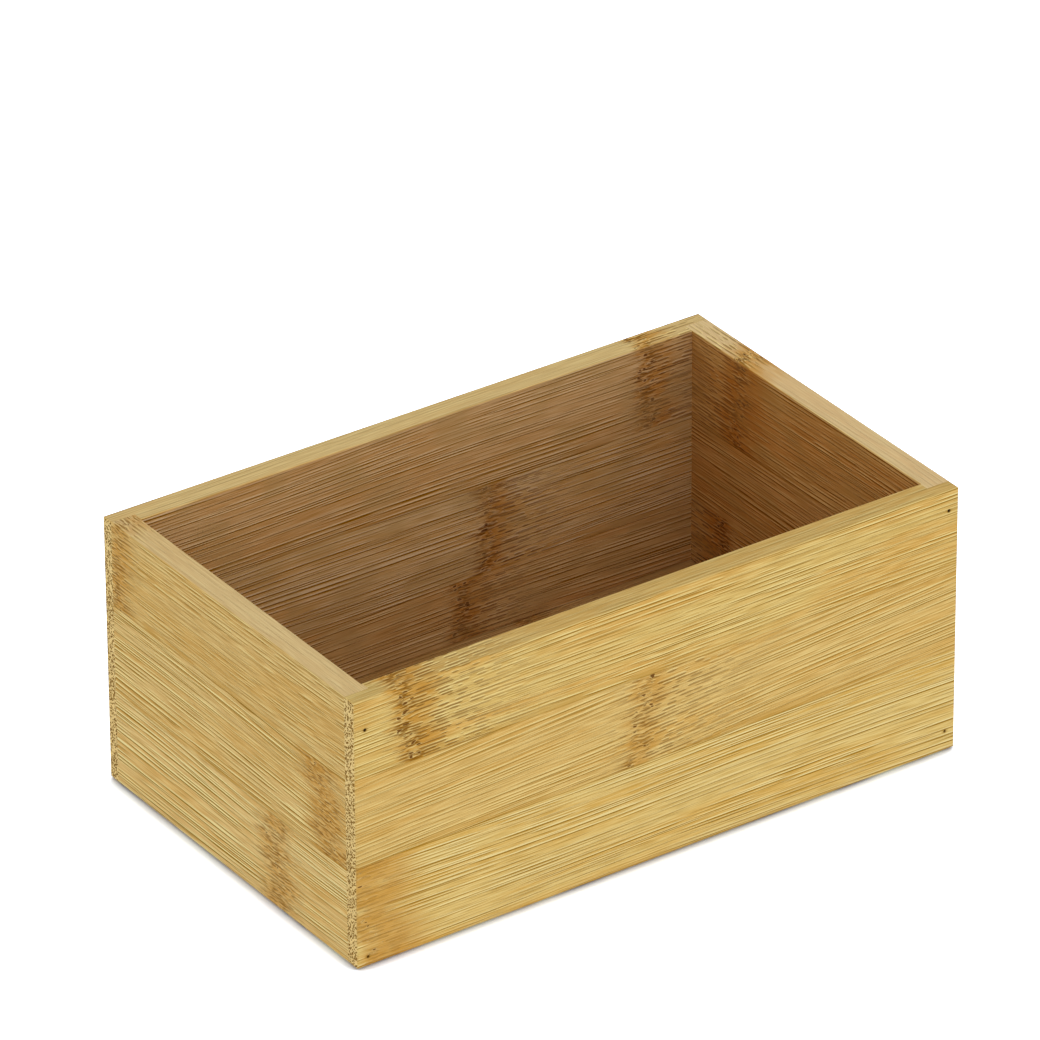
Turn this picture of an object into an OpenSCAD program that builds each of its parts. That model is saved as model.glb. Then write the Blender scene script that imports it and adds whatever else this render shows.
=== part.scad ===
// Open-topped bamboo storage box: edge-glued walls, rabbeted and pinned
// corners, and a floor board held in a groove inside the walls.
// Millimetres. The box stands on z = 0, centred on the Z axis, its length along X.

/* [Box] */
// Outer length of the box, along X
box_l = 180; // [140:1:260]
// Outer width of the box, along Y
box_w = 110; // [80:1:170]
// Height of the box
box_h = 75; // [66:1:110]
// Thickness of each wall
wall_t = 7; // [6:0.25:10]

/* [Front wall strips] */
// Width of the strip at the rim
front_top_w = 21.5; // [16:0.5:26]
// Width of the strip below it; the last one fills the rest of the height
front_middle_w = 24.5; // [16:0.5:28]

/* [Back wall strips] */
// Width of the strip at the rim
back_top_w = 24; // [16:0.5:26]
// Width of the strip below it; the last one fills the rest of the height
back_middle_w = 25.5; // [16:0.5:28]

/* [Left wall strips] */
// Width of the strip at the rim
left_top_w = 23.5; // [16:0.5:26]
// Width of the strip below it; the last one fills the rest of the height
left_middle_w = 25; // [16:0.5:28]

/* [Right wall strips] */
// Width of the strip at the rim
right_top_w = 25; // [16:0.5:26]
// Width of the strip below it; the last one fills the rest of the height
right_middle_w = 23; // [16:0.5:28]

/* [Corner joint] */
// Depth of the end rabbets and of the floor groove in the walls' inner faces
rabbet_d = 3; // [2:0.25:3.5]

/* [Floor board] */
// Thickness of the board
floor_t = 4; // [3:0.25:5]
// Height of the board's underside above the base
floor_rise = 4; // [3.75:0.25:8]
// Play above the board in its groove
floor_play = 0.2; // [0.1:0.05:0.4]
// Room left round the board's edges for the wood to move
floor_room = 0.4; // [0.2:0.1:1]

/* [Pins] */
// Diameter of a headless pin
pin_d = 0.65; // [0.5:0.05:1]
// Length of a pin
pin_len = 15; // [10:1:20]
// Length of its point
pin_point = 1.6; // [1:0.1:2.5]
// Depth of its blunt end below the face of the wall
pin_sink = 0.3; // [0.1:0.1:0.8]
// Room round a pin in its hole
pin_room = 0.05; // [0.02:0.01:0.1]
// Wood between a pin hole and the bottom of the groove beside it
pin_web = 0.45; // [0.3:0.05:1]
// Depth of the left upper pins below the rim
left_pin_drop = 8.3; // [5:0.1:12]
// Depth of the right upper pins below the rim
right_pin_drop = 5.7; // [5:0.1:12]
// Height of the left lower pins above the base
left_pin_rise = 3.1; // [2.4:0.1:8]
// Height of the right lower pins above the base
right_pin_rise = 6; // [2.4:0.1:8]

/* [Eased edges] */
// Radius of the upright outer corners
corner_r = 0.8; // [0.3:0.1:1.5]
// Radius of the outer edge of the rim
rim_r = 0.6; // [0.3:0.1:1.2]
// Radius of the inner edge of the rim
inner_rim_r = 0.5; // [0.2:0.1:1]
// Radius of the edge round the base
base_r = 1.4; // [0.5:0.1:1.8]

/* [Hidden] */
// How far a cutter runs past the wood it cuts
overrun = 1;
// Facets of the round cutters and pins
round_fn = 48;

// Thin lip left beside a rabbet, which shows as end grain on the short faces
lip_t = wall_t - rabbet_d;
// Space between the inner faces of the walls
inner_l = box_l - 2 * wall_t;
inner_w = box_w - 2 * wall_t;
// Length of a short wall, from one lip to the other
short_wall_l = box_w - 2 * lip_t;
// Length and height of the groove that takes the floor board
groove_l = box_l - 2 * lip_t;
groove_h = floor_t + floor_play;
// Heights of the glue lines in each wall
front_seams = [box_h - front_top_w - front_middle_w, box_h - front_top_w];
back_seams = [box_h - back_top_w - back_middle_w, box_h - back_top_w];
left_seams = [box_h - left_top_w - left_middle_w, box_h - left_top_w];
right_seams = [box_h - right_top_w - right_middle_w, box_h - right_top_w];
// Pins, their holes and where they are driven into the long faces
pin_r = pin_d / 2;
pin_hole_r = pin_r + pin_room;
pin_x = box_l / 2 - lip_t + pin_web + pin_hole_r;
pin_places = [
    [-pin_x, left_pin_rise], [-pin_x, box_h - left_pin_drop],
    [pin_x, right_pin_rise], [pin_x, box_h - right_pin_drop]
];

// Sanded bamboo, from strip to strip, and the steel of the pins
pale_bamboo = [0.85, 0.72, 0.46];
straw_bamboo = [0.83, 0.69, 0.42];
gold_bamboo = [0.81, 0.66, 0.38];
steel = [0.42, 0.41, 0.40];

FLOOR_STRIPS = [
    "floor_front_strip", "floor_near_strip", "floor_far_strip", "floor_back_strip"
];

// Floor board and one of the strips that it is glued from
floor_l = groove_l - 2 * floor_room;
floor_w = short_wall_l - 2 * floor_room;
floor_strip_w = floor_w / len(FLOOR_STRIPS);

// Mirrors its children in X or in Y when flip is true
module flip_x(flip) {
    mirror([flip ? 1 : 0, 0, 0]) children();
}

module flip_y(flip) {
    mirror([0, flip ? 1 : 0, 0]) children();
}

// Waste of rounding one square edge. The edge runs along Z through the
// origin, and the wood lies towards -X and -Y
module edge_waste(r, len) {
    translate([-r, -r, -len / 2])
        linear_extrude(len)
            difference() {
                square(r + overrun);
                circle(r, $fn = round_fn);
            }
}

// The same for an edge along X, with the wood towards -Y and -Z
module edge_waste_x(r, len) {
    rotate([0, 90, 0]) flip_x(true) edge_waste(r, len);
}

// The same for an edge along Y, with the wood towards -X and -Z
module edge_waste_y(r, len) {
    rotate([90, 0, 0]) edge_waste(r, len);
}

module upright_corner_waste() {
    for (left = [false, true], front = [false, true])
        flip_x(left) flip_y(front)
            translate([box_l / 2, box_w / 2, box_h / 2])
                edge_waste(corner_r, box_h + 2 * overrun);
}

// Outer edges of the rim at the top, or of the base when turned over
module outer_edge_waste(r) {
    for (far = [false, true]) {
        flip_y(far)
            translate([0, box_w / 2, 0])
                edge_waste_x(r, box_l + 2 * overrun);
        flip_x(far)
            translate([box_l / 2, 0, 0])
                edge_waste_y(r, box_w + 2 * overrun);
    }
}

// Inner edges of the rim, which meet in a mitre at each corner
module inner_long_edge_waste(len) {
    for (far = [false, true])
        flip_y(far)
            translate([0, -inner_w / 2, box_h])
                edge_waste_x(inner_rim_r, len);
}

module inner_short_edge_waste(len) {
    for (far = [false, true])
        flip_x(far)
            translate([-inner_l / 2, 0, box_h])
                edge_waste_y(inner_rim_r, len);
}

module inner_rim_waste() {
    inner_long_edge_waste(inner_l);
    inner_short_edge_waste(inner_w);
    intersection() {
        inner_long_edge_waste(inner_l + 2 * inner_rim_r);
        inner_short_edge_waste(inner_w + 2 * inner_rim_r);
    }
}

// A pin along +Y with its blunt end at the origin
module pin() {
    rotate([-90, 0, 0]) {
        cylinder(r = pin_r, h = pin_len - pin_point, $fn = round_fn);
        translate([0, 0, pin_len - pin_point])
            cylinder(r1 = pin_r, r2 = pin_r / 4, h = pin_point, $fn = round_fn);
    }
}

// The hole of a pin, open at the face of the wall and closed past the point
module pin_hole() {
    translate([0, -pin_sink - overrun, 0])
        rotate([-90, 0, 0])
            cylinder(r = pin_hole_r, h = overrun + pin_sink + pin_len + pin_room, $fn = round_fn);
}

// Its child at each pin, four in the front face and four in the back face
module at_pins() {
    for (back = [false, true], place = pin_places)
        flip_y(back)
            translate([place.x, -box_w / 2 + pin_sink, place.y])
                children();
}

// What sanding and nailing take away from the walls
module finishing_waste() {
    upright_corner_waste();
    translate([0, 0, box_h]) outer_edge_waste(rim_r);
    mirror([0, 0, 1]) outer_edge_waste(base_r);
    inner_rim_waste();
    at_pins() pin_hole();
}

// Groove for the floor board, which reaches into all four walls
module floor_groove() {
    translate([-groove_l / 2, -short_wall_l / 2, floor_rise])
        cube([groove_l, short_wall_l, groove_h]);
}

// A long wall in one piece, with a rabbet across each end
module long_wall(back) {
    difference() {
        flip_y(back)
            translate([-box_l / 2, -box_w / 2, 0])
                cube([box_l, wall_t, box_h]);
        for (right = [false, true])
            flip_x(right)
                translate([-box_l / 2 - overrun, -short_wall_l / 2, -overrun])
                    cube([overrun + wall_t, short_wall_l, box_h + 2 * overrun]);
        floor_groove();
        finishing_waste();
    }
}

// A short wall in one piece, whose ends seat in the rabbets
module short_wall(right) {
    difference() {
        flip_x(right)
            translate([-box_l / 2, -short_wall_l / 2, 0])
                cube([wall_t, short_wall_l, box_h]);
        floor_groove();
        finishing_waste();
    }
}

// Parts a wall along its glue lines and keeps one strip, 0 at the base
module strip_of_wall(seams, strip) {
    low = strip > 0 ? seams[strip - 1] : 0;
    high = strip < len(seams) ? seams[strip] : box_h;
    intersection() {
        children();
        translate([-box_l / 2 - overrun, -box_w / 2 - overrun, low])
            cube([box_l + 2 * overrun, box_w + 2 * overrun, high - low]);
    }
}

module front_strip(strip, tone) {
    color(tone) strip_of_wall(front_seams, strip) long_wall(false);
}

module back_strip(strip, tone) {
    color(tone) strip_of_wall(back_seams, strip) long_wall(true);
}

module left_strip(strip, tone) {
    color(tone) strip_of_wall(left_seams, strip) short_wall(false);
}

module right_strip(strip, tone) {
    color(tone) strip_of_wall(right_seams, strip) short_wall(true);
}

// One strip of the floor board, counted from the front
module floor_strip(strip, tone) {
    color(tone)
        translate([-floor_l / 2, -floor_w / 2 + strip * floor_strip_w, floor_rise])
            cube([floor_l, floor_strip_w, floor_t]);
}

module front_top_strip() { front_strip(2, gold_bamboo); }
module front_middle_strip() { front_strip(1, straw_bamboo); }
module front_bottom_strip() { front_strip(0, pale_bamboo); }

module back_top_strip() { back_strip(2, straw_bamboo); }
module back_middle_strip() { back_strip(1, pale_bamboo); }
module back_bottom_strip() { back_strip(0, gold_bamboo); }

module left_top_strip() { left_strip(2, gold_bamboo); }
module left_middle_strip() { left_strip(1, straw_bamboo); }
module left_bottom_strip() { left_strip(0, pale_bamboo); }

module right_top_strip() { right_strip(2, straw_bamboo); }
module right_middle_strip() { right_strip(1, gold_bamboo); }
module right_bottom_strip() { right_strip(0, pale_bamboo); }

module floor_front_strip() { floor_strip(0, straw_bamboo); }
module floor_near_strip() { floor_strip(1, pale_bamboo); }
module floor_far_strip() { floor_strip(2, gold_bamboo); }
module floor_back_strip() { floor_strip(3, straw_bamboo); }

// Eight headless pins through the lips into the ends of the short walls
module corner_pins() {
    color(steel) at_pins() pin();
}

front_top_strip();
front_middle_strip();
front_bottom_strip();
back_top_strip();
back_middle_strip();
back_bottom_strip();
left_top_strip();
left_middle_strip();
left_bottom_strip();
right_top_strip();
right_middle_strip();
right_bottom_strip();
floor_front_strip();
floor_near_strip();
floor_far_strip();
floor_back_strip();
corner_pins();
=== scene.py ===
import math

import bpy
from mathutils import Matrix, Vector


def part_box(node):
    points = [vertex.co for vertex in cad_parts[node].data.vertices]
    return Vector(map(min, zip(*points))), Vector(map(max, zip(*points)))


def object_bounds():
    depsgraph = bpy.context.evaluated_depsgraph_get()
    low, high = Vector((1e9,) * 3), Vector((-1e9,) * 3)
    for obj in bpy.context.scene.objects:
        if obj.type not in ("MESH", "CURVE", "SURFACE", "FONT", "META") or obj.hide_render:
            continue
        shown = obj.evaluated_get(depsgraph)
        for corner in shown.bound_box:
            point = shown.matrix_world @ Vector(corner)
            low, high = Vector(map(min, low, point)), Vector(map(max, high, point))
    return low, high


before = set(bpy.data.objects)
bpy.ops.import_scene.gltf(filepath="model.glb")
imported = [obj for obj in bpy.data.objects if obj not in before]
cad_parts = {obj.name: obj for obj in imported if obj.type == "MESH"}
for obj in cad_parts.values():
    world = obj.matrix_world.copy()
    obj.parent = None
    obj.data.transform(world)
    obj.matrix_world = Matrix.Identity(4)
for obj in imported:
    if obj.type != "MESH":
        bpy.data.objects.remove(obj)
cad_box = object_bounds()

# The photograph's view: a long lens about 2.4 metres away, above the box's near left corner.
# The values come from a fit of the box's corners and edges at its real size, without any
# shift of the lens.
azimuth = math.radians(-34.698)
elevation = math.radians(29.813)
roll = math.radians(-0.311)
camera_distance = 2.399
camera_aim = Vector((0.0055, 0.0131, 0.0618))
sensor_width = 36.0
lens = 335.6
farthest_seen = 100.0

towards_camera = Vector((
    math.sin(azimuth) * math.cos(elevation),
    -math.cos(azimuth) * math.cos(elevation),
    math.sin(elevation),
))
level_right = Vector((math.cos(azimuth), math.sin(azimuth), 0.0))
level_up = towards_camera.cross(level_right)
camera_right = level_right * math.cos(roll) + level_up * math.sin(roll)
camera_up = level_up * math.cos(roll) - level_right * math.sin(roll)

camera = bpy.data.objects.new("photo_camera", bpy.data.cameras.new("photo_camera"))
camera.data.sensor_width = sensor_width
camera.data.lens = lens
camera.data.clip_end = farthest_seen
turn = Matrix((camera_right, camera_up, towards_camera)).transposed()
place = Matrix.Translation(camera_aim + towards_camera * camera_distance)
camera.matrix_world = place @ turn.to_4x4()
bpy.context.scene.collection.objects.link(camera)
bpy.context.scene.camera = camera
bpy.context.scene.view_settings.view_transform = "Standard"


# Front wall: three bamboo strips, edge-glued, sanded and thinly lacquered, matt.
# The grain runs along the wall. Each strip has one knuckle, where the cane's joint was:
# a column of dark pits with an orange stain and short broken fibres beside it.
mm = 1000.0  # in a metre: the patterns below are worked out in mm


def paint(red, green, blue):
    """A colour written as on a screen, 0 to 255, as the shader's own linear colour."""
    linear = []
    for part in (red, green, blue):
        share = part / 255.0
        linear.append(share / 12.92 if share <= 0.04045 else ((share + 0.055) / 1.055) ** 2.4)
    return (*linear, 1.0)


class Wire:
    """A value between the nodes of a material. Sums written on it add the Math nodes."""

    def __init__(self, tree, socket=None):
        self.tree = tree
        self.socket = socket

    def node(self, kind, settings=None, values=None, output=0):
        """Adds one node: first its settings, then the values or wires of its sockets."""
        made = self.tree.nodes.new("ShaderNode" + kind)
        for name, value in (settings or {}).items():
            setattr(made, name, value)
        for name, value in (values or {}).items():
            if isinstance(value, Wire):
                self.tree.links.new(value.socket, made.inputs[name])
            else:
                made.inputs[name].default_value = value
        return Wire(self.tree, made.outputs[output] if made.outputs else None)

    def output(self, name):
        """Another output of the node that this wire comes from."""
        return Wire(self.tree, self.socket.node.outputs[name])

    def maths(self, operation, *values):
        """A Math node on the values given."""
        return self.node("Math", {"operation": operation}, dict(enumerate(values)))

    def __add__(self, other):
        return self.maths("ADD", self, other)

    __radd__ = __add__

    def __sub__(self, other):
        return self.maths("SUBTRACT", self, other)

    def __rsub__(self, other):
        return self.maths("SUBTRACT", other, self)

    def __mul__(self, other):
        return self.maths("MULTIPLY", self, other)

    __rmul__ = __mul__

    def __truediv__(self, other):
        return self.maths("DIVIDE", self, other)

    def __abs__(self):
        return self.maths("ABSOLUTE", self)

    def __floor__(self):
        return self.maths("FLOOR", self)

    def rise(self, low, high):
        """0 below low, 1 above high, and a smooth climb between."""
        limits = {"Value": self, "From Min": low, "From Max": high}
        return self.node("MapRange", {"interpolation_type": "SMOOTHSTEP"}, limits)

    def fall(self, low, high):
        """1 below low, 0 above high."""
        return 1.0 - self.rise(low, high)

    def tint(self, share, other, blend="MIX"):
        """This colour with a share of another mixed in."""
        settings = {"data_type": "RGBA", "blend_type": blend}
        return self.node("Mix", settings, {0: share, 6: self, 7: other}, 2)


class Knuckle:
    """One knuckle of a strip, in mm. at is where it crosses the strip's middle, and lean its
    slope there. stain and broken are how far its stain and its broken fibres reach, before it
    and after it along the grain. depth is how dark its fibres are, and below 0 none of them
    are curled. tinge is how strong the stain is, pits how large the pits are, against 1 as
    usual, and reach how far the curled fibres go."""

    def __init__(self, at, lean=0.0, stain=(5.0, 11.0), broken=(8.0, 34.0), depth=1.0,
                 tinge=0.75, pits=1.0, reach=4.0):
        self.at = at
        self.lean = lean
        self.stain = stain
        self.broken = broken
        self.depth = depth
        self.tinge = tinge
        self.pits = pits
        self.reach = reach


umber = paint(138, 88, 0)  # the dark of a knuckle's broken and curled fibres


class Strip:
    """The bamboo of one CAD strip: a material made step by step, in which each step tints the
    colour that the steps before it left. Lengths are in mm. axes are the ones along the
    fibres, across the strip and through it. inward is 1 where the box's inside lies on the
    rising side of the last one, and -1 where it doesn't. tone is the strip's straw, gold,
    brown and cream, and seed sets its patterns apart from the other strips'."""

    def __init__(self, node, axes, inward, tone, seed):
        self.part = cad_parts[node]
        self.straw, self.gold, self.brown, self.cream = tone
        self.seed = seed
        self.material = bpy.data.materials.new(node + "_bamboo")
        self.material.use_nodes = True
        self.material.node_tree.nodes.clear()
        self.sheet = Wire(self.material.node_tree)

        # Its own directions, the faces that look along them, and its edges.
        spot = self.sheet.node("TexCoord", output="Object")
        in_mm = self.sheet.node("VectorMath", {"operation": "SCALE"}, {0: spot, "Scale": mm})
        split = self.sheet.node("SeparateXYZ", values={0: in_mm})
        self.along, self.across, self.through = (split.output(axis.upper()) for axis in axes)
        normal = self.sheet.node("TexCoord", output="Normal")
        facing = self.sheet.node("SeparateXYZ", values={0: normal})
        self.end_face = abs(facing.output(axes[0].upper())).rise(0.6, 0.9)
        self.top_face = facing.output("Z").rise(0.8, 0.98)
        self.inner_face = (facing.output(axes[2].upper()) * inward).rise(0.5, 0.9)
        low, high = (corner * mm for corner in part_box(node))
        letter = "xyz".index(axes[1])
        self.bottom, self.top = low[letter], high[letter]
        self.box_bottom, self.box_top = cad_box[0][letter] * mm, cad_box[1][letter] * mm

    def noise(self, step, a, b, c, detail=0.0):
        """Noise of its own for each strip and step, with grains about 1 across."""
        along_shift, across_shift = self.seed * 7.3, self.seed * 3.1
        where = {0: a + along_shift + step * 31.7, 1: b + across_shift, 2: c + step * 11.9}
        vector = self.sheet.node("CombineXYZ", values=where)
        values = {"Vector": vector, "Scale": 1.0, "Detail": detail, "Roughness": 0.5}
        return self.sheet.node("TexNoise", {}, values)

    def grain(self, step, run, height, depth, detail=0.0, level=None):
        """Noise drawn out along the fibres, with grains of run by height by depth. level is
        counted across the strip, and follows its edges if none is given."""
        level = self.across if level is None else level
        return self.noise(step, self.along / run, level / height, self.through / depth, detail)

    def cells(self, step, a, b, c, randomness=1.0):
        """Scattered spots, as the distance from the nearest one."""
        along_shift, across_shift = self.seed * 5.9, self.seed * 2.3
        where = {0: a + along_shift + step * 17.3, 1: b + across_shift, 2: c}
        vector = self.sheet.node("CombineXYZ", values=where)
        values = {"Vector": vector, "Scale": 1.0, "Randomness": randomness}
        return self.sheet.node("TexVoronoi", {"feature": "F1"}, values)

    def bundles(self, step, layer, pitch, run, thick):
        """Fibre bundles lying in rows, each a thin spindle: the dark bundle itself, and a pale
        line along its upper side, partly pale tissue and partly painted highlight, as where light
        catches the bundle's relief from above. layer counts across the rows."""
        upper_side, soft_edge = 0.34, 0.2
        unevenness = 0.5
        far_apart = 90.0
        place = layer / pitch + self.seed * 13.7 + step * 5.3
        row = math.floor(place)
        chance = self.sheet.node("TexWhiteNoise", {"noise_dimensions": "1D"}, {"W": row})
        aside = (place - row - 0.5 + (chance - 0.5) * unevenness) * pitch
        swell = self.noise(step, self.along / run + chance * far_apart, row * 3.7, 0.0)
        half = swell.rise(0.30, 0.62) * thick
        dark = (half - abs(aside)).rise(0.0, soft_edge)
        pale = (half * 1.2 - abs(aside - upper_side)).rise(0.0, soft_edge)
        return dark, pale

    def tint(self, share, other, blend="MIX"):
        """Tints the strip's colour as it is so far."""
        self.colour = self.colour.tint(share, other, blend)

    def find_knuckle(self, knuckle):
        """Where the knuckle's marks lie: stain, broken and core are 1 where its stain, its
        broken fibres and its curled ones are. off is the distance from it along the fibres,
        and frayed the same with a ragged edge, so that marks end elsewhere in each fibre."""
        along, across, through = self.along, self.across, self.through
        middle = (self.bottom + self.top) / 2
        snaking = knuckle.reach * 1.5
        bend, far_along = 4.0, 60.0
        fray = 9.0
        meander = self.noise(21, across / bend, through / bend, along / far_along) - 0.5
        self.off = along - knuckle.at - (across - middle) * knuckle.lean - meander * snaking
        ragged = self.grain(27, run=26, height=0.8, depth=0.8, detail=1.0) - 0.5
        frayed = self.off + ragged * fray
        before, after = knuckle.stain
        self.stain = frayed.rise(-before, -before * 0.2) * frayed.fall(after * 0.3, after)
        before, after = knuckle.broken
        self.broken = frayed.rise(-before, -1.0) * frayed.fall(after * 0.15, after)
        self.core = abs(self.off).fall(knuckle.reach * 0.25, knuckle.reach)

    def ground(self, tilt):
        """Straw with clouds of gold and hair-fine fibres, which run almost straight and wander
        a little, and a golden foot, where the strip keeps some of the cane's skin."""
        skin_gold = paint(198, 152, 66)
        hair_dark, hair_pale, skin_share = 0.34, 0.45, 0.5
        skin_run, skin_height = 38.0, 9.0
        wander = 4.0
        sway = (self.grain(1, run=110, height=30, depth=30) - 0.5) * wander
        self.bent = self.across + self.along * tilt + sway  # the level that a fibre keeps
        cloud = self.grain(15, run=60, height=6.0, depth=8.0, detail=1.0, level=self.bent)
        hair = self.grain(16, run=9, height=0.26, depth=0.26, detail=1.0, level=self.bent)
        skin = self.noise(17, self.along / skin_run, self.across / skin_height, 0.0)
        skin = skin.rise(0.38, 0.60) * 0.7 + 0.3
        foot = (self.across - self.bottom).fall(0.4, 2.6)
        self.colour = self.sheet.node("RGB")
        self.colour.socket.default_value = self.straw
        self.tint(cloud.rise(0.38, 0.62), self.gold)
        self.tint(hair.fall(0.30, 0.52) * hair_dark, self.brown)
        self.tint(hair.rise(0.50, 0.68) * hair_pale, self.cream)
        self.tint(foot * skin * skin_share, skin_gold)

    def long_fibres(self, contrast, length, rim, sanded):
        """The fibre bundles, bold and fine. Their layers lie aslant in the cane, so that every
        long face cuts through them. They come in bands, are worn off the rim by sanding and
        broken up beside the knuckle, and look deeper inside the box."""
        slant = 0.9
        self.layer = self.bent + self.through * slant
        bold_dark, bold_pale = self.bundles(11, self.layer, 1.28, run=28.0 * length, thick=0.26)
        fine_dark, fine_pale = self.bundles(12, self.layer, 0.84, run=16.0 * length, thick=0.22)
        band = self.grain(13, run=55, height=3.4, depth=5.0, level=self.bent)
        self.band = band.rise(0.32, 0.62)
        worn = self.top_face * (0.1 + sanded * 0.9)
        kept = 1.0 - self.broken * 0.8
        deeper = 1.0 + self.inner_face * 0.4
        weight = (self.band * 0.6 + 0.45) * contrast * (1.0 - worn) * kept * deeper
        fine_pale_share, fine_dark_share = 0.90, 0.80
        bold_pale_share, bold_dark_share = 0.92, 0.86
        # The pale lines are partly pale tissue and partly painted highlight along the bundles'
        # upper sides.
        self.tint(fine_pale * weight * fine_pale_share, self.cream)
        self.tint(fine_dark * weight * fine_dark_share, self.brown)
        self.tint(bold_pale * weight * bold_pale_share, self.cream)
        self.tint(bold_dark * weight * bold_dark_share, self.brown)
        self.tint(self.top_face * sanded, paint(*rim))
        self.bold_dark = bold_dark
        self.relief = bold_pale - bold_dark

    def short_fibres(self, knuckle):
        """The knuckle's stain, and the short broken fibres beside it, ruffled close to it."""
        amber = paint(206, 144, 46)
        patch = self.grain(22, run=7, height=3.6, depth=3.6, detail=1.0)
        self.tint(self.stain * patch.rise(0.18, 0.54) * knuckle.tinge, amber)
        self.ruffle = (self.grain(24, run=3.0, height=2.4, depth=2.4) - 0.5) * 1.1
        ruffled = self.layer + self.ruffle * (self.core * 0.8 + 0.15)
        dark, pale = self.bundles(23, ruffled, 0.96, run=3.0, thick=0.36)
        quiet = 1.0 - self.stain * 0.55
        pale_share = 0.35 + 0.60 * knuckle.depth
        dark_share = 0.40 + 0.36 * knuckle.depth
        # The pale lines here too are partly painted highlight along the bundles' upper sides.
        self.tint(pale * self.broken * quiet * pale_share, self.cream)
        self.tint(dark * self.broken * dark_share, umber)
        self.relief = self.relief - dark * self.broken

    def curls_and_pits(self, knuckle):
        """The knuckle's curled fibres, as dark and pale strokes, and its pits, each a hollow whose
        brown is partly its own colour and partly painted shade, with a pale ragged edge that is
        partly curled fibre and partly painted highlight on its rim."""
        curled = max(knuckle.depth, 0.0)
        dark_share, pale_share, edge_share, pit_share = 0.75, 0.35, 0.28, 0.92
        stroke = self.grain(26, run=2.2, height=0.42, depth=0.42)
        self.tint(self.core * stroke.fall(0.34, 0.48) * dark_share * curled, umber)
        self.tint(self.core * stroke.rise(0.60, 0.72) * pale_share * curled, self.cream)
        pit_brown = paint(112, 64, 0)
        pit_run, pit_height, edge_width = 2.0, 0.95, 0.16
        run = self.along / pit_run + self.ruffle * 0.6
        height = self.across / pit_height + self.ruffle * 0.9
        spots = self.cells(25, run, height, self.through / pit_height)
        chance = self.sheet.node("SeparateColor", values={0: spots.output("Color")})
        close_by = abs(self.off).fall(1.4, 3.8)
        size = (chance - 0.1) * 0.55 * knuckle.pits * close_by
        ragged = size - spots + (stroke - 0.5) * 0.9 * size.rise(0.0, 0.1)
        edge = (ragged + edge_width).rise(0.0, edge_width) * size.rise(0.04, 0.1)
        pits = ragged.rise(0.0, edge_width)
        # Partly painted light: the pale edge stands in part for light on each pit's rim, and the
        # brown for shade in the hollow.
        self.tint(edge * edge_share, self.cream)
        self.tint(pits * pit_share, pit_brown)
        self.relief = self.relief - pits * 0.4

    def end_grain(self):
        """The cut ends of the bundles, a dense field of brown dots in a pale ground."""
        pitch, far_along = 0.54, 30.0
        scatter = 0.8
        pale_share, brown_share = 0.92, 0.96
        end_pale, end_brown = paint(249, 219, 149), paint(134, 92, 8)
        height, depth = self.across / pitch, self.through / pitch
        dots = self.cells(31, height, depth, self.along / far_along, scatter).fall(0.40, 0.56)
        self.tint(self.end_face * pale_share, end_pale)
        self.tint(self.end_face * dots * brown_share, end_brown)
        self.relief = self.relief - self.end_face * dots * 0.5

    def glue_lines(self):
        """A thin brown line along each edge that lies within the box's outline, where the
        strip meets the next one. The floor's outer edges get one too, unseen in the groove."""
        core, edge, share = 0.05, 0.30, 0.6
        same_place = 0.5
        for own, outer in ((self.bottom, self.box_bottom), (self.top, self.box_top)):
            if abs(own - outer) > same_place:
                seam = abs(self.across - own).fall(core, edge) * self.band
                self.tint(seam * share, self.brown)

    def inside(self, inner_shade):
        """Inside, the faces get paler patches, and then a tint multiplied into them darkens
        them: painted shade, for the shade inside the box.
        """
        pale_patches = paint(204, 174, 98)
        patch_share = 0.4
        run, height = 14.0, 9.0
        uneven = self.noise(41, self.along / run, self.across / height, 0.0, detail=1.0)
        self.tint(self.inner_face * uneven.rise(0.46, 0.66) * patch_share, pale_patches)
        # Painted shade: the multiplied tint darkens the inner faces as the shade inside the box
        # would.
        self.tint(self.inner_face, paint(*inner_shade), "MULTIPLY")

    def pin_marks(self, pins):
        """Torn fibres round each pin, and a dark edge round it, darker round the upper ones, which
        is painted shade of the hole that the pin is punched into. The distances from the pin are
        squared."""
        hole_shade = paint(92, 56, 6)
        narrower = 3.0
        torn_near, torn_far = 0.3, 1.6
        edge_near, edge_far = 0.12, 0.36
        torn_share, upper_share, lower_share = 0.4, 0.8, 0.3
        half_way_up = (self.box_bottom + self.box_top) / 2
        for pin_along, pin_across in pins:
            side = self.along - pin_along
            down = self.across - pin_across
            torn = (side * side + down * down * narrower).fall(torn_near, torn_far)
            self.tint(torn * torn_share, self.brown)
            edge = (side * side + down * down).fall(edge_near, edge_far)
            # Painted shade: the dark edge stands for the shade in the pin's hole.
            self.tint(edge * (upper_share if pin_across > half_way_up else lower_share), hole_shade)

    def finish(self):
        """A matt lacquered finish, duller over the dark bundles, that follows the fibres' relief.
        """
        gloss, roughness, duller = 0.03, 0.48, 0.12
        relief_height = 0.00015  # in metres
        values = {"Height": self.relief, "Strength": 0.6, "Distance": relief_height}
        bump = self.sheet.node("Bump", {}, values)
        rough = self.bold_dark * duller + roughness
        values = {"Base Color": self.colour, "Roughness": rough, "Normal": bump,
                  "Specular IOR Level": gloss}
        shader = self.sheet.node("BsdfPrincipled", {}, values)
        self.sheet.node("OutputMaterial", {}, {"Surface": shader})
        self.part.data.materials.clear()
        self.part.data.materials.append(self.material)


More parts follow.
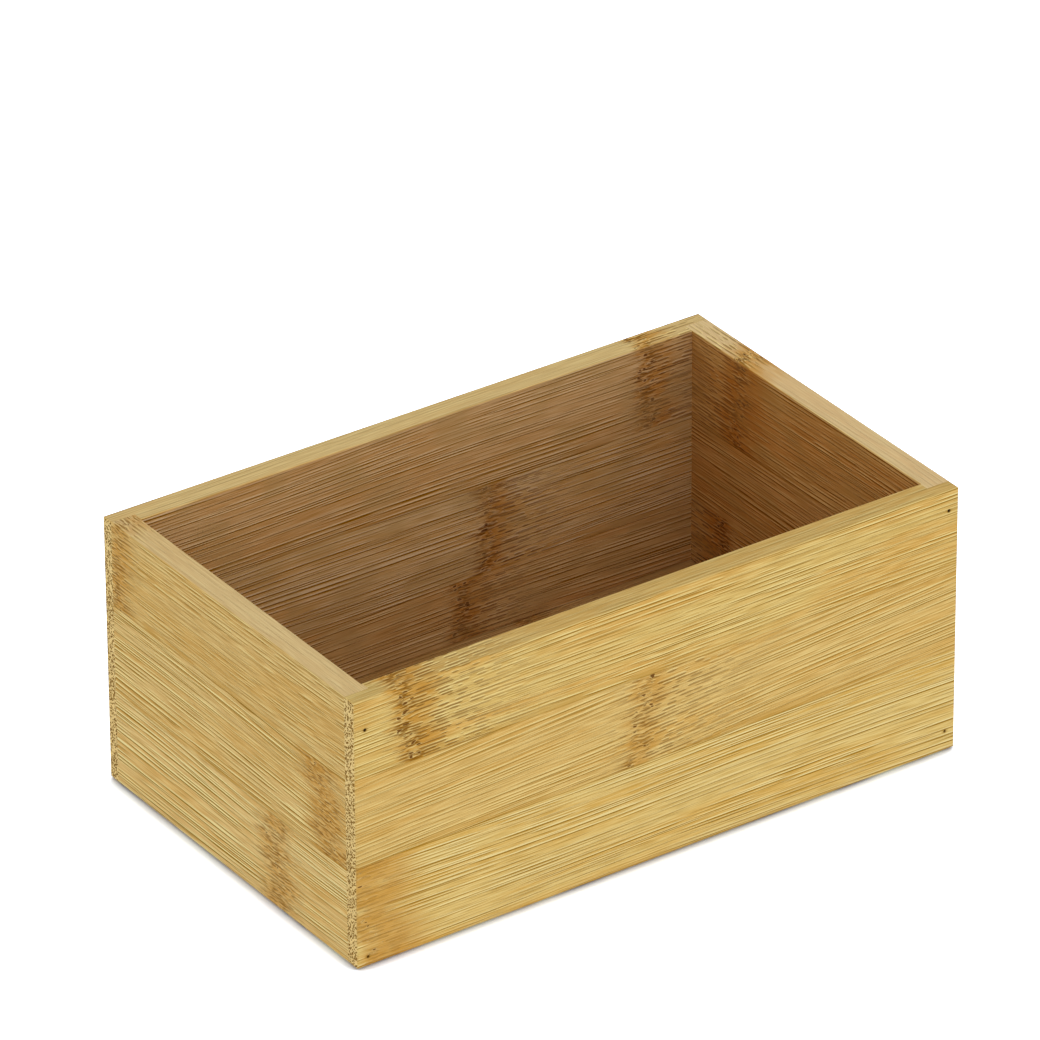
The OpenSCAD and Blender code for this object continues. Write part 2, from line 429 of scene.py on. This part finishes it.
def bamboo(node, axes, inward, tone, knuckle, seed, tilt=0.0, contrast=1.0, length=1.0,
           pins=(), rim=(170, 152, 97), sanded=0.3, inner_shade=(228, 217, 242)):
    """Gives a CAD strip its bamboo. tilt is the fibres' slope, contrast how much they stand
    out and length how long they are, against 1 as usual. pins are places along and across, in
    mm. rim is the colour of the sanded top face, sanded its share there, and the last argument
    the tint multiplied into the inner face: painted shade, for the shade inside the box."""
    strip = Strip(node, axes, inward, tone, seed)
    strip.find_knuckle(knuckle)
    strip.ground(tilt)
    strip.long_fibres(contrast, length, rim, sanded)
    strip.short_fibres(knuckle)
    strip.curls_and_pits(knuckle)
    strip.end_grain()
    strip.glue_lines()
    strip.inside(inner_shade)
    strip.pin_marks(pins)
    strip.finish()


warm = (paint(231, 197, 117), paint(229, 182, 98), paint(162, 114, 0), paint(255, 232, 157))
pale = (paint(236, 205, 127), paint(232, 190, 103), paint(166, 119, 0), paint(255, 235, 167))
plain = (paint(230, 193, 117), paint(226, 181, 99), paint(162, 115, 0), paint(255, 230, 156))

left_end, right_end = cad_box[0][0] * mm, cad_box[1][0] * mm
rim_height = cad_box[1][2] * mm
pin_inset = 3.2
left_pin_drop, right_pin_drop = 8.3, 5.7
left_pin_rise, right_pin_rise = 3.1, 6.0
wall_pins = (
    (left_end + pin_inset, rim_height - left_pin_drop),
    (right_end - pin_inset, rim_height - right_pin_drop),
    (left_end + pin_inset, left_pin_rise),
    (right_end - pin_inset, right_pin_rise),
)
near_end = Knuckle(left_end + 15.4, lean=-0.09, stain=(6.0, 14.0), broken=(8.0, 50.0), tinge=0.74)
mid_wall = Knuckle(left_end + 84.0, lean=0.16, stain=(6.0, 8.0), broken=(14.0, 46.0), depth=0.65,
                   tinge=0.42)
at_corner = Knuckle(left_end + 2.5, lean=-0.12, stain=(6.0, 22.0), broken=(4.0, 18.0), depth=-0.3,
                    tinge=0.6, pits=0.5)
bamboo("front_top_strip", "xzy", 1, warm, near_end, seed=1, tilt=-0.01, length=0.6, pins=wall_pins)
bamboo("front_middle_strip", "xzy", 1, plain, mid_wall, seed=2, tilt=-0.045, contrast=0.85)
bamboo("front_bottom_strip", "xzy", 1, pale, at_corner, seed=3, contrast=1.05, pins=wall_pins)

# Left wall: the short wall that the photograph shows, of three edge-glued strips, paler than
# the front's. Its ends sit in the long walls' rabbets, glued and pinned through their lips.
# It has two broad soft knuckles towards the front, and one at its far end that turns over the rim.
front_end, back_end = cad_box[0][1] * mm, cad_box[1][1] * mm
smooth = (229, 205, 158)
honey = (paint(223, 187, 117), paint(219, 176, 99), paint(156, 110, 0), paint(253, 229, 157))
dry = (paint(228, 193, 124), paint(224, 182, 106), paint(160, 115, 0), paint(255, 234, 163))
fresh = (paint(235, 200, 131), paint(231, 189, 113), paint(162, 118, 0), paint(255, 239, 172))
far_end = Knuckle(back_end - 6.0, stain=(9.0, 3.0), broken=(14.0, 6.0), depth=0.7, tinge=0.5,
                  pits=0.4)
beside_corner = Knuckle(front_end + 13.0, lean=0.18, stain=(15.0, 12.0), broken=(16.0, 12.0),
                        depth=0.6, tinge=0.55, pits=0.45, reach=9.0)
mid_base = Knuckle(front_end + 34.5, lean=0.16, stain=(11.0, 9.0), broken=(16.0, 14.0),
                   depth=0.56, tinge=0.44, pits=0.55, reach=9.0)
bamboo("left_top_strip", "yzx", 1, honey, far_end, seed=4, tilt=0.01, contrast=0.7, length=0.35,
       rim=smooth, sanded=0.45)
bamboo("left_middle_strip", "yzx", 1, dry, beside_corner, seed=5, tilt=-0.012, contrast=1.15,
       length=0.7)
bamboo("left_bottom_strip", "yzx", 1, fresh, mid_base, seed=6, contrast=1.2)

# Right wall: the other short wall, made and fixed like the left one. The photograph shows its
# inner face, darkened by a more amber painted shade, and its rim, which is sanded paler.
amber_inner_shade = (210, 182, 170)
rosy = (229, 203, 162)
wide_stain = Knuckle(28.0, stain=(16.0, 10.0), depth=0.8)
bamboo("right_top_strip", "yzx", -1, warm, wide_stain, seed=7, length=0.5, rim=rosy, sanded=0.55,
       inner_shade=amber_inner_shade)
bamboo("right_middle_strip", "yzx", -1, plain, Knuckle(-30.0), seed=8, length=0.6,
       inner_shade=amber_inner_shade)
bamboo("right_bottom_strip", "yzx", -1, pale, Knuckle(34.0), seed=9, inner_shade=amber_inner_shade)

# Back wall: the other long wall, with the same strips, rabbeted ends and pins as the front.
# The photograph shows its rim and part of its inner face, and no knuckle on that stretch of
# the rim, so the top strip's knuckle lies further right.
matt = (208, 188, 142)
bamboo("back_top_strip", "xzy", -1, plain, Knuckle(69.0), seed=10, pins=wall_pins, rim=matt,
       sanded=0.4)
bamboo("back_middle_strip", "xzy", -1, pale, Knuckle(20.0), seed=11)
bamboo("back_bottom_strip", "xzy", -1, warm, Knuckle(12.0), seed=12, pins=wall_pins)

# Floor board: four edge-glued strips, lying loose in the groove round the foot of the walls.
# Its grain runs along the box, and its upper face is lacquered and, like the inside of the
# walls, darkened by painted shade.
floor_inner_shade = (224, 203, 204)
bamboo("floor_front_strip", "xyz", 1, plain, Knuckle(-40.0), seed=13, inner_shade=floor_inner_shade)
bamboo("floor_near_strip", "xyz", 1, pale, Knuckle(55.0), seed=14, inner_shade=floor_inner_shade)
bamboo("floor_far_strip", "xyz", 1, warm, Knuckle(-5.0), seed=15, inner_shade=floor_inner_shade)
bamboo("floor_back_strip", "xyz", 1, plain, Knuckle(30.0), seed=16, inner_shade=floor_inner_shade)

# Pins: eight headless steel nails, driven through the lips of the long walls into the ends of
# the short ones and punched just under the surface. They are dull and dark, partly as dark
# steel and partly as painted shade of the holes they sit in, and the lower ones look browner.
# The pins' dark colours are partly dark steel and partly painted shade of their holes.
pin_grey, pin_dark, pin_brown = paint(44, 28, 12), paint(28, 16, 6), paint(134, 92, 18)
scuffs_per_metre = 4000.0
lower_pins, upper_pins = 0.02, 0.04
steel = bpy.data.materials.new("pin_steel")
steel.use_nodes = True
steel.node_tree.nodes.clear()
sheet = Wire(steel.node_tree)
spot = sheet.node("TexCoord", output="Object")
scuff = sheet.node("TexNoise", {}, {"Vector": spot, "Scale": scuffs_per_metre})
height = sheet.node("SeparateXYZ", values={0: spot}).output("Z")
grey = sheet.node("RGB")
grey.socket.default_value = pin_grey
grey = grey.tint(scuff.rise(0.4, 0.65) * 0.6, pin_dark)
grey = grey.tint(height.fall(lower_pins, upper_pins) * 0.85, pin_brown)
rough = 0.55 + scuff * 0.2
finish = {"Base Color": grey, "Roughness": rough, "Metallic": 0.3, "Specular IOR Level": 0.2}
sheet.node("OutputMaterial", {}, {"Surface": sheet.node("BsdfPrincipled", {}, finish)})
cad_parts["corner_pins"].data.materials.clear()
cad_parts["corner_pins"].data.materials.append(steel)

# The table: no part of the box. It is a plain white surface that the camera sees as pure
# white, but for the soft grey shadow that gathers where the box touches it.
table_size = 6.0
shadow_reach = 0.0052
plain_white, darker_beside, brighter_away = 0.92, 0.2, 1.6
half = table_size / 2
corners = [(-half, -half, 0), (half, -half, 0), (half, half, 0), (-half, half, 0)]
mesh = bpy.data.meshes.new("table")
mesh.from_pydata(corners, [], [(0, 1, 2, 3)])
table = bpy.data.objects.new("table", mesh)
bpy.context.scene.collection.objects.link(table)
white = bpy.data.materials.new("table_white")
white.use_nodes = True
white.node_tree.nodes.clear()
sheet = Wire(white.node_tree)
seen = sheet.node("LightPath", output="Is Camera Ray")
open_sky = sheet.node("AmbientOcclusion", {"samples": 8}, {"Distance": shadow_reach}, "AO")
open_sky = open_sky.rise(0.38, 0.96)
shade = plain_white + seen * (open_sky * brighter_away - darker_beside)
green = shade * (1.0 + seen * (0.08 + open_sky * 0.04))
blue = shade * (1.0 + seen * (0.2 + open_sky * 0.12))
cool_shade = sheet.node("CombineColor", {}, {0: shade, 1: green, 2: blue})
surface = sheet.node("BsdfDiffuse", {}, {"Color": cool_shade})
sheet.node("OutputMaterial", {}, {"Surface": surface})
table.data.materials.append(white)

# Light: an even white room, dimmer overhead, and one large soft lamp from the front right,
# so that the front wall is the brightest and the inside lies in its own shade.
dimmer_overhead = 0.35
lamp_strength = 0.3
lamp_spread = math.radians(70)
lamp_side = Vector((0.45, -1.0, 0.5))
world = bpy.data.worlds.new("room")
bpy.context.scene.world = world
world.use_nodes = True
world.node_tree.nodes.clear()
sheet = Wire(world.node_tree)
seen = sheet.node("LightPath", output="Is Camera Ray")
heading = sheet.node("SeparateXYZ", values={0: sheet.node("TexCoord", output="Generated")})
room_light = 1.0 - heading.output("Z").rise(0.0, 1.0) * dimmer_overhead
strength = room_light + seen * (1.0 - room_light)
glow = sheet.node("Background", {}, {"Color": (1.0, 1.0, 1.0, 1.0), "Strength": strength})
sheet.node("OutputWorld", {}, {"Surface": glow})

lamp = bpy.data.objects.new("soft_lamp", bpy.data.lights.new("soft_lamp", "SUN"))
lamp.data.energy = lamp_strength
lamp.data.angle = lamp_spread
lamp.rotation_euler = lamp_side.to_track_quat("Z", "Y").to_euler()
bpy.context.scene.collection.objects.link(lamp)
